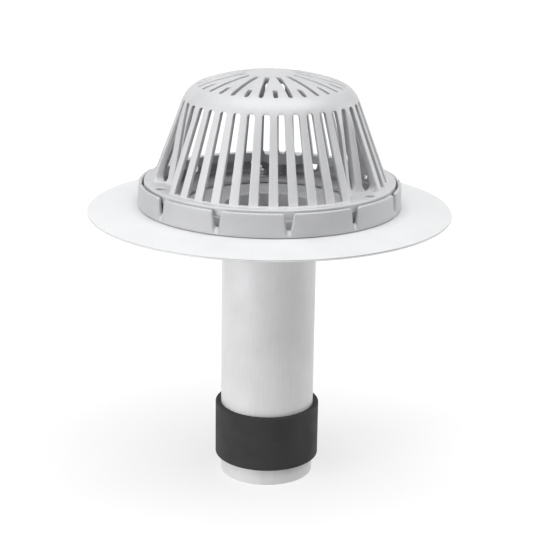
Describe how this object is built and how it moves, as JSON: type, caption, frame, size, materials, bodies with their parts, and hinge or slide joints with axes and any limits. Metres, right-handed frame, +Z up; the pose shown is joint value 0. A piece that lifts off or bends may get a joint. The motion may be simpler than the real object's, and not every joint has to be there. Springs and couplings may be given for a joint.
{
  "type": "flat roof drain",
  "caption": "Insert drain for a flat roof: a clad flange on a long pipe stem with a rubber seal, a notched clamping ring and a slotted strainer dome.",
  "frame": {"origin": "on the axis of the stem at the flat underside of the flange, where it meets the roof deck", "axes": "+Z up along the stem towards the apex of the dome, -Y towards the front"},
  "size_m": [0.3619, 0.362, 0.4185],
  "materials": {
    "drain_metal": "plain spun sheet and tube, satin",
    "cladding_sheet": "white roofing sheet, matt and smooth",
    "cast_metal": "cast and blasted, fine grain, matt satin",
    "seal_rubber": "moulded rubber, matt with a fine grain",
    "fastener_steel": "machined, bright"
  },
  "bodies": {
    "root": {"roof_flange": "drain_metal", "stem_pipe": "drain_metal", "flange_cladding": "cladding_sheet", "pipe_seal": "seal_rubber", "clamping_ring": "cast_metal", "ring_stud_1": "fastener_steel", "ring_stud_2": "fastener_steel", "ring_stud_3": "fastener_steel", "ring_washer_1": "fastener_steel", "ring_washer_2": "fastener_steel", "ring_washer_3": "fastener_steel", "ring_nut_1": "fastener_steel", "ring_nut_2": "fastener_steel", "ring_nut_3": "fastener_steel", "strainer_dome": "cast_metal", "dome_screw_1": "fastener_steel", "dome_screw_2": "fastener_steel", "dome_screw_3": "fastener_steel"}
  },
  "joints": []
}
